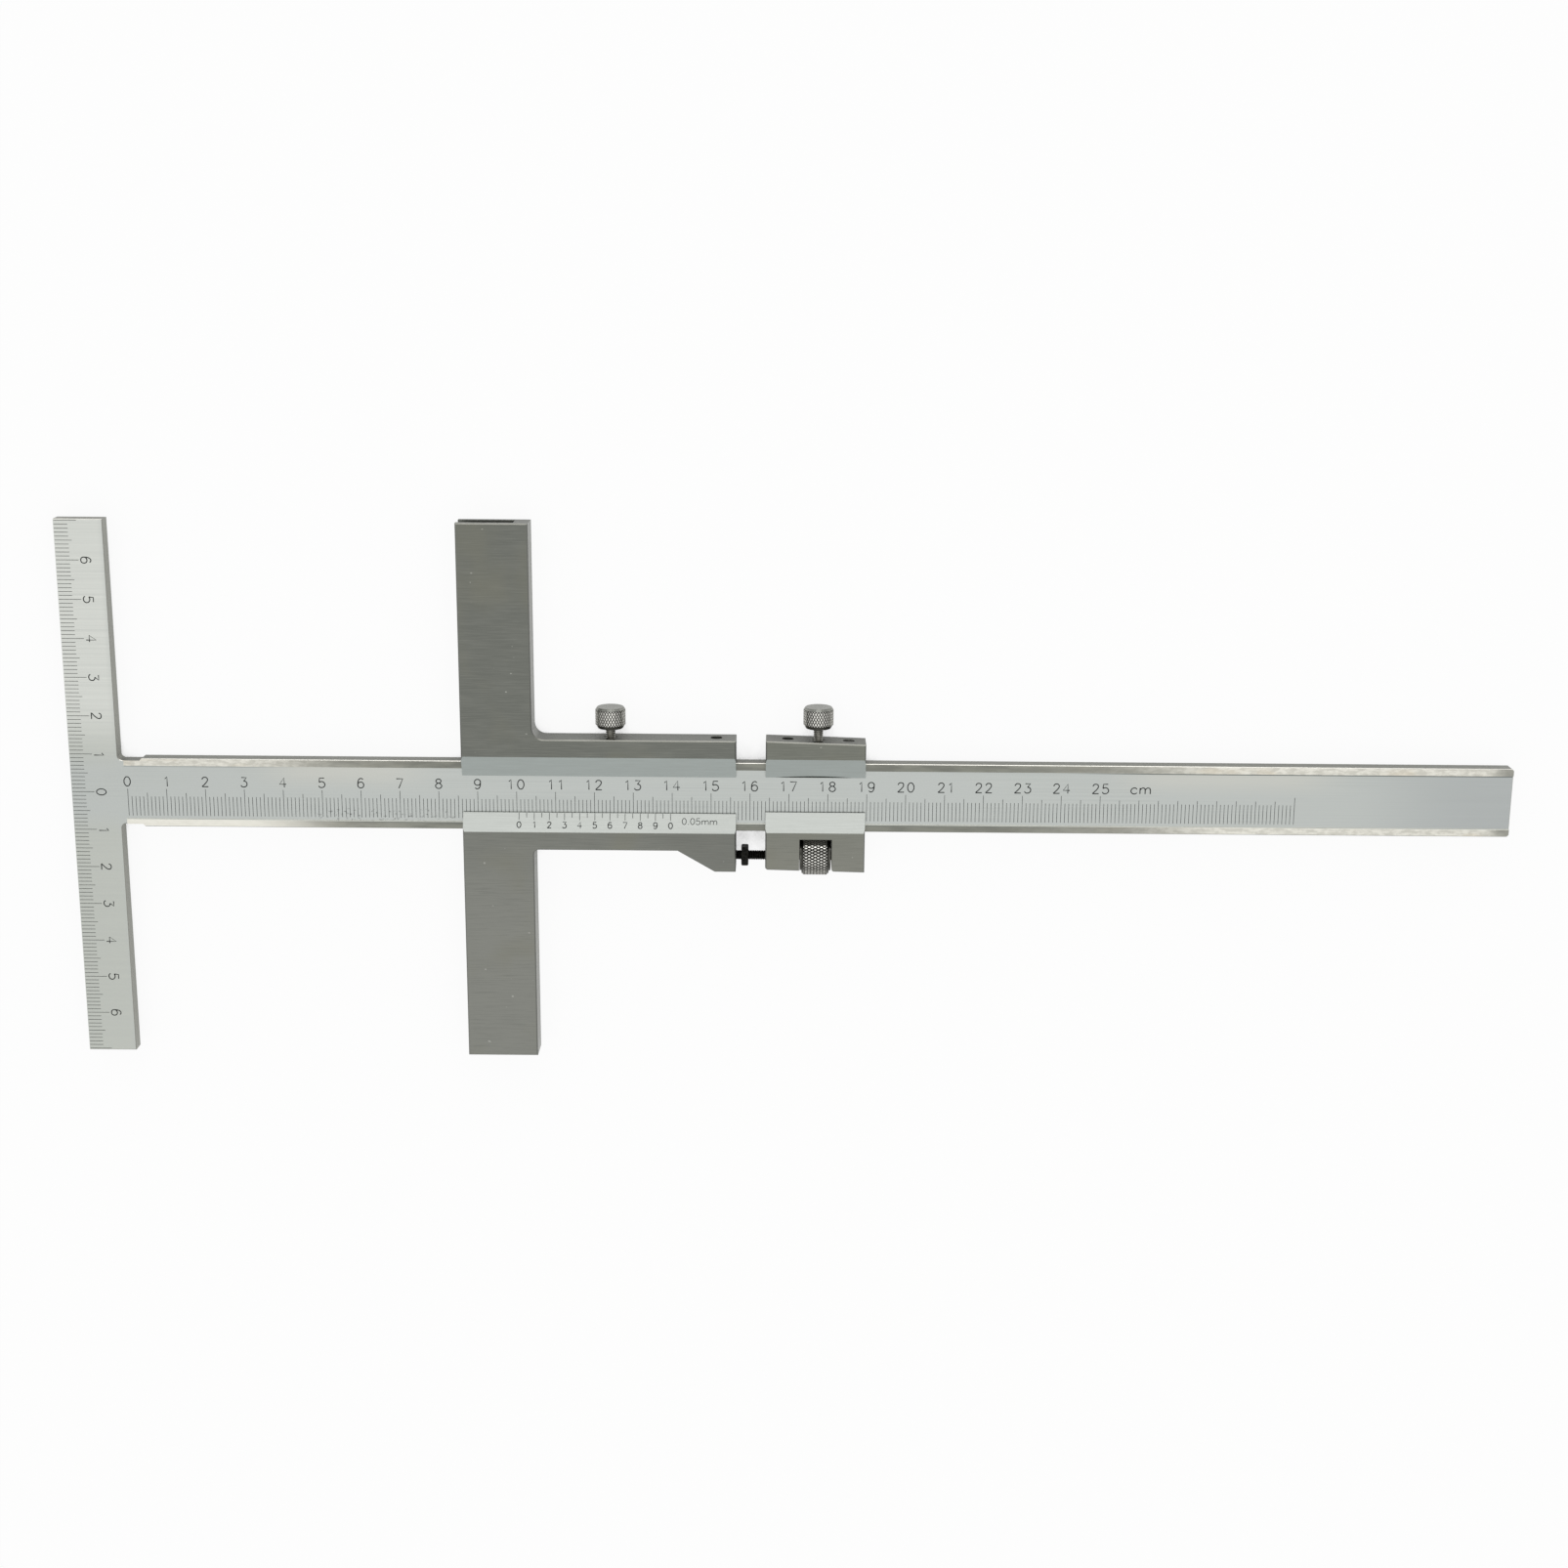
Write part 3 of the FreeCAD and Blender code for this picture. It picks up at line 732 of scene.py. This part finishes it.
def threadRod(shape, look, low, high, slot=0):
    # Helical V thread, cut flat at both ends
    radius, pitch, steps = look["threadRadius"], look["pitch"], look["threadSteps"]
    root = radius - look["threadDepth"]
    rod = bmesh.new()
    turns = math.ceil((high - low) / pitch) + 2
    crest = (0.42 * pitch, 0.58 * pitch)  # the thread's narrow flat top
    profile = [(root, 0.0), (radius, crest[0]), (radius, crest[1]), (root, pitch)]
    verts = [rod.verts.new((out, 0.0, low - pitch + up)) for out, up in profile]
    edges = [rod.edges.new(pair) for pair in zip(verts, verts[1:])]
    bmesh.ops.spin(rod, geom=verts + edges, cent=(0.0, 0.0, 0.0), axis=(0.0, 0.0, 1.0),
                   dvec=(0.0, 0.0, pitch / steps), angle=2 * math.pi * turns, steps=steps * turns,
                   use_merge=False, use_duplicate=False)
    bmesh.ops.remove_doubles(rod, verts=rod.verts[:], dist=0.0005)
    for height, away in ((low, -1.0), (high, 1.0)):
        bmesh.ops.bisect_plane(rod, geom=rod.verts[:] + rod.edges[:] + rod.faces[:], dist=0.00001,
                               plane_co=(0.0, 0.0, height), plane_no=(0.0, 0.0, away), clear_outer=True)
        bmesh.ops.contextual_create(rod, geom=openRim(rod, height, 0.001))
    bmesh.ops.recalc_face_normals(rod, faces=rod.faces[:])
    for face in rod.faces:
        face.material_index = slot
    holder = bpy.data.meshes.new("rod")
    rod.to_mesh(holder)
    rod.free()
    shape.from_mesh(holder)
    bpy.data.meshes.remove(holder)


# Knurled clamp screws

clampSet = {
    "radius": 3.85,
    "headLength": 5.5,
    "threadRadius": 1.25,
    "threadLength": 7.45,
    "threadInHead": 0.4,
    "pitch": 0.45,
    "threadDepth": 0.2,
    "threadSteps": 20,
    "topRadius": 3.42,
    "topBevel": 0.62,
    "topRound": 0.06,
    "centreRadius": 0.5,
    "footRadius": 3.2,
    "footBevel": 0.85,
    "teeth": 34,
    "rows": 3,
    "inset": 0.1,
    "depth": 0.18,
    "screws": {
        "sliderClampScrew": ("slider_clamp_screw", "slider_clamp", (138.6, 10.15, 0.0)),
        "blockClampScrew": ("adjuster_clamp_screw", "adjuster_clamp", (191.8, 10.5, 0.0)),
    },
}


def makeClampScrew(look):
    # Material slots: 0 the knurl's crests, painted light as highlights, 1 its grooves and the head's
    # underside, painted dark as shade, 2 the turned top, 3 the thread
    shape = bmesh.new()
    bottom = look["threadLength"]
    top = bottom + look["headLength"]
    low, high = knurlWall(shape, look, bottom + look["footBevel"], top - look["topBevel"])
    ring = growRing(shape, low, look["footRadius"], bottom, 1)
    closeRing(shape, ring, look["threadRadius"], bottom, 1)
    ring = growRing(shape, high, look["radius"] - look["topRound"], top - look["topBevel"], 2)
    ring = growRing(shape, ring, look["topRadius"], top - look["topRound"], 2)
    ring = growRing(shape, ring, look["topRadius"] - 2 * look["topRound"], top, 2)
    closeRing(shape, ring, look["centreRadius"], top, 2)
    bmesh.ops.recalc_face_normals(shape, faces=shape.faces[:])
    threadRod(shape, look, 0.0, bottom + look["threadInHead"], slot=3)
    return shape


upright = Matrix.Rotation(math.radians(-90), 4, "X")  # local Z turned to +Y
clampFinishes = {"CrestHighlight": crestHighlightLook, "GrooveShade": grooveShadeLook, "End": endLook, "Thread": threadLook}
for name, (node, body, tip) in clampSet["screws"].items():
    turned = [makeTurnedMaterial(name + part, look, tip, (1.0, 0.0, 1.0))
              for part, look in clampFinishes.items()]
    piece = keepPiece(makeClampScrew(clampSet), name, body, turned,
                      Matrix.Translation(tip) @ upright)
    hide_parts(node)
print("clamp screws made")


# Adjusting nut and its screw

nutSet = {
    "radius": 5.0,
    "hubRadius": 3.9,
    "boreRadius": 1.3,
    "length": 8.0,
    "hub": 0.5,
    "chamfer": 0.35,
    "faceDrop": 0.1,  # the end face's rim stands this far inside the chamfer
    "teeth": 40,
    "rows": 4,
    "inset": 0.15,
    "depth": 0.22,
    "place": (187.3, -16.0, 0.0),
}

screwSet = {
    "threadRadius": 1.25,
    "pitch": 0.45,
    "threadDepth": 0.2,
    "threadSteps": 16,
    "start": 164.8,
    "end": 199.65,
    "y": -16.0,
}


def makeAdjustingNut(look):
    shape = bmesh.new()
    start, end = look["hub"] + look["chamfer"], look["length"] - look["hub"] - look["chamfer"]
    low, high = knurlWall(shape, look, start, end)
    innerRims = []
    # The hub ends take slot 1, painted dark as shade
    for ring, side, face in ((low, 0.0, look["hub"]), (high, look["length"], look["length"] - look["hub"])):
        ring = growRing(shape, ring, look["radius"] - look["chamfer"] - look["faceDrop"], face, 1)
        ring = growRing(shape, ring, look["hubRadius"], face, 1)
        ring = growRing(shape, ring, look["hubRadius"], side, 1)
        ring = growRing(shape, ring, look["boreRadius"], side, 1)
        innerRims += ring
    bmesh.ops.bridge_loops(shape, edges=innerRims)
    bmesh.ops.recalc_face_normals(shape, faces=shape.faces[:])
    return shape


sideways = Matrix.Rotation(math.radians(90), 4, "Y")  # local Z turned to +X
turned = [makeTurnedMaterial("adjustingNut" + part, look, nutSet["place"], (0.0, 1.0, 1.0))
          for part, look in (("CrestHighlight", crestHighlightLook), ("GrooveShade", grooveShadeLook))]
nutPiece = keepPiece(makeAdjustingNut(nutSet), "adjustingNut", "nut", turned,
                     Matrix.Translation(nutSet["place"]) @ sideways)
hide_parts("adjusting_nut")

screwShape = bmesh.new()
threadRod(screwShape, screwSet, 0.0, screwSet["end"] - screwSet["start"])
screwPiece = keepPiece(screwShape, "adjustingScrew", "slider", [blackSteel],
                       Matrix.Translation((screwSet["start"], screwSet["y"], 0.0)) @ sideways)
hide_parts("adjusting_screw")
print("adjusting nut and screw made")


# Graduations: filled lines and single-stroke numbers, standing a hair proud of the metal

strokes = {
    "0": [("loop", (0.35, 1.0), (0.07, 0.74), (0.03, 0.5), (0.07, 0.26), (0.35, 0.0), (0.63, 0.26),
           (0.67, 0.5), (0.63, 0.74))],
    "1": [("line", (0.16, 0.8), (0.38, 1.0), (0.38, 0.0))],
    "2": [("curve", (0.06, 0.76), (0.16, 0.94), (0.36, 1.0), (0.58, 0.91), (0.62, 0.7), (0.5, 0.48),
           (0.03, 0.0)),
          ("line", (0.03, 0.0), (0.68, 0.0))],
    "3": [("line", (0.1, 1.0), (0.62, 1.0), (0.33, 0.62)),
          ("curve", (0.33, 0.62), (0.55, 0.56), (0.66, 0.32), (0.55, 0.08), (0.32, 0.0), (0.12, 0.05),
           (0.03, 0.18))],
    "4": [("line", (0.5, 0.0), (0.5, 1.0), (0.02, 0.32), (0.7, 0.32))],
    "5": [("line", (0.6, 1.0), (0.13, 1.0), (0.08, 0.56)),
          ("curve", (0.08, 0.56), (0.3, 0.64), (0.54, 0.56), (0.66, 0.33), (0.54, 0.08), (0.3, 0.0),
           (0.11, 0.05), (0.03, 0.18))],
    "6": [("curve", (0.6, 0.88), (0.44, 1.0), (0.24, 0.95), (0.1, 0.72), (0.05, 0.36)),
          ("loop", (0.36, 0.62), (0.13, 0.52), (0.05, 0.31), (0.13, 0.09), (0.36, 0.0), (0.58, 0.09),
           (0.66, 0.31), (0.58, 0.53))],
    "7": [("line", (0.02, 1.0), (0.68, 1.0), (0.26, 0.0))],
    "8": [("loop", (0.35, 1.0), (0.13, 0.9), (0.1, 0.74), (0.35, 0.56), (0.6, 0.74), (0.57, 0.9)),
          ("loop", (0.35, 0.56), (0.08, 0.4), (0.04, 0.22), (0.35, 0.0), (0.66, 0.22), (0.62, 0.4))],
    "9": [("curve", (0.1, 0.12), (0.26, 0.0), (0.46, 0.05), (0.6, 0.28), (0.65, 0.64)),
          ("loop", (0.34, 0.38), (0.57, 0.48), (0.65, 0.69), (0.57, 0.91), (0.34, 1.0), (0.12, 0.91),
           (0.04, 0.69), (0.12, 0.47))],
    ".": [("line", (0.12, 0.0), (0.12, 0.12))],
    "c": [("curve", (0.66, 0.5), (0.54, 0.61), (0.37, 0.64), (0.14, 0.53), (0.05, 0.32), (0.14, 0.1),
           (0.37, 0.0), (0.54, 0.03), (0.66, 0.13))],
    "m": [("line", (0.05, 0.0), (0.05, 0.64)),
          ("curve", (0.05, 0.42), (0.2, 0.59), (0.37, 0.64), (0.53, 0.56), (0.57, 0.4), (0.57, 0.0)),
          ("curve", (0.57, 0.42), (0.72, 0.59), (0.9, 0.64), (1.06, 0.56), (1.1, 0.4), (1.1, 0.0))],
}

inkSet = {
    "faceHeight": 2.0,
    "proud": 0.012,
    "sunk": 0.03,
    "lineWidth": 0.125,
    "strokeWidth": 0.27,
    "digitWidth": 0.7,  # in heights, as the widths of the other characters
    "otherWidths": {".": 0.24, "m": 1.15, "c": 0.71},
}


def drawWord(flat, word, centre, height, advance, quarterTurn=False):
    # Adds a word's strokes to a flat curve, centred; advance is the gap between letters in heights
    steps = [inkSet["otherWidths"].get(letter, inkSet["digitWidth"]) + advance for letter in word]
    inkStart = min(x for kind, *points in strokes[word[0]] for x, y in points)
    inkEnd = sum(steps[:-1]) + max(x for kind, *points in strokes[word[-1]] for x, y in points)
    across = -(inkStart + inkEnd) / 2
    for letter, step in zip(word, steps):
        for kind, *points in strokes[letter]:
            spline = flat.splines.new("BEZIER")
            spline.bezier_points.add(len(points) - 1)
            spline.use_cyclic_u = kind == "loop"
            for knot, (x, y) in zip(spline.bezier_points, points):
                right, up = (across + x) * height, (y - 0.5) * height
                if quarterTurn:
                    right, up = up, -right
                knot.co = (centre[0] + right, centre[1] + up, 0.0)
                knot.handle_left_type = knot.handle_right_type = "VECTOR" if kind == "line" else "AUTO"
        across += step


def startWords(width):
    flat = bpy.data.curves.new("words", "CURVE")
    flat.dimensions = "3D"
    flat.resolution_u = 4
    flat.bevel_depth = width / 2
    flat.bevel_resolution = 1
    flat.use_fill_caps = True
    return flat


def addWords(shape, flat, proud):
    # Turns the strokes into a mesh pressed nearly flat
    holder = bpy.data.objects.new("words", flat)
    bpy.context.scene.collection.objects.link(holder)
    graph = bpy.context.evaluated_depsgraph_get()
    mesh = bpy.data.meshes.new_from_object(holder.evaluated_get(graph))
    mesh.transform(Matrix.Scale(2 * proud / flat.bevel_depth, 4, (0.0, 0.0, 1.0)))
    shape.from_mesh(mesh)
    bpy.data.objects.remove(holder)
    bpy.data.meshes.remove(mesh)


def addLine(shape, across, low, high, width, upright=True):
    # A filled line: upright at X = across, or level at Y = across
    size = (width, high - low) if upright else (high - low, width)
    middle = (across, (low + high) / 2) if upright else ((low + high) / 2, across)
    depth = inkSet["proud"] + inkSet["sunk"]
    placing = (Matrix.Translation((*middle, inkSet["proud"] - depth / 2))
               @ Matrix.Diagonal((*size, depth, 1.0)))
    bmesh.ops.create_cube(shape, size=1.0, matrix=placing)


def rankOf(step):
    # 2 on tens, 1 on fives, 0 between them
    return 2 if step % 10 == 0 else 1 if step % 5 == 0 else 0


mainScale = {
    "zero": 14.4,
    "length": 300,
    "bottom": -6.2,
    "tops": (-1.1, -0.15, 0.9),  # 1, 5 and 10 mm lines
    "lastNumber": 25,  # beyond it only the very last line is a long one
    "digitHeight": 2.5,
    "digitMiddle": 2.85,
    "digitGap": 0.32,
    "unitPlace": (274.7, 2.85),
    "unitGap": 0.22,
}


def makeMainScale(look):
    shape = bmesh.new()
    for step in range(look["length"] + 1):
        numbered = step <= 10 * look["lastNumber"] or step == look["length"]
        top = look["tops"][rankOf(step) if numbered else min(rankOf(step), 1)]
        addLine(shape, look["zero"] + step, look["bottom"], top, inkSet["lineWidth"])
    flat = startWords(inkSet["strokeWidth"])
    for number in range(look["lastNumber"] + 1):
        place = (look["zero"] + 10 * number, look["digitMiddle"])
        drawWord(flat, str(number), place, look["digitHeight"], look["digitGap"])
    drawWord(flat, "cm", look["unitPlace"], look["digitHeight"], look["unitGap"])
    addWords(shape, flat, inkSet["proud"])
    return shape


crossScale = {
    "reach": 70,
    "start": 0.12,
    "ends": (3.6, 4.4, 5.8),  # where the 1, 5 and 10 mm lines end
    "lastNumber": 6,
    "digitMiddle": 7.6,
    "digitHeight": 2.5,
    "digitGap": 0.27,
}


def makeCrossScale(look):
    shape = bmesh.new()
    for step in range(-look["reach"], look["reach"] + 1):
        addLine(shape, step, look["start"], look["ends"][rankOf(step)], inkSet["lineWidth"], upright=False)
    flat = startWords(inkSet["strokeWidth"])
    for number in range(-look["lastNumber"], look["lastNumber"] + 1):
        place = (look["digitMiddle"], 10 * number)
        drawWord(flat, str(abs(number)), place, look["digitHeight"], look["digitGap"], True)
    addWords(shape, flat, inkSet["proud"])
    return shape


vernierScale = {
    "zero": 115.0,
    "division": 1.95,
    "divisions": 20,
    "edge": (-4.45, 2.5),  # Y and Z of the lip's edge
    "foot": (-9.3, 4.1),
    "longLine": 1.9,
    "shortLine": 1.25,
    "lineStart": 0.05,
    "lineWidth": 0.135,
    "digitHeight": 1.55,
    "digitStroke": 0.235,
    "digitGap": 0.27,
    "digitDown": 3.15,  # from the lip's edge, down the bevel
    "word": "0.05mm",
    "wordPlace": (161.45, 2.0),
    "wordHeight": 1.6,
    "wordStroke": 0.175,
    "wordGap": 0.2,
}


def makeVernier(look):
    # Drawn with the lip's edge on Y = 0, then laid on the bevel
    shape = bmesh.new()
    for step in range(look["divisions"] + 1):
        length = look["longLine"] if step % 2 == 0 else look["shortLine"]
        addLine(shape, look["zero"] + step * look["division"], -length, -look["lineStart"], look["lineWidth"])
    flat = startWords(look["digitStroke"])
    for number in range(look["divisions"] // 2 + 1):
        place = (look["zero"] + 2 * number * look["division"], -look["digitDown"])
        drawWord(flat, str(number % 10), place, look["digitHeight"], look["digitGap"])
    addWords(shape, flat, inkSet["proud"])
    flat = startWords(look["wordStroke"])
    right, down = look["wordPlace"]
    drawWord(flat, look["word"], (right, -down), look["wordHeight"], look["wordGap"])
    addWords(shape, flat, inkSet["proud"])
    (edgeY, edgeZ), (footY, footZ) = look["edge"], look["foot"]
    slope = math.atan2(footZ - edgeZ, edgeY - footY)
    bmesh.ops.rotate(shape, verts=shape.verts, cent=(0.0, 0.0, 0.0), matrix=Matrix.Rotation(-slope, 3, "X"))
    bmesh.ops.translate(shape, verts=shape.verts, vec=(0.0, edgeY, edgeZ))
    return shape


onFace = Matrix.Translation((0.0, 0.0, inkSet["faceHeight"]))
keepPiece(makeMainScale(mainScale), "mainScaleMarks", "beam", [scaleInk], onFace)
keepPiece(makeCrossScale(crossScale), "crossbarMarks", "beam", [scaleInk], onFace)
keepPiece(makeVernier(vernierScale), "vernierMarks", "slider", [scaleInk])
print("graduations made")
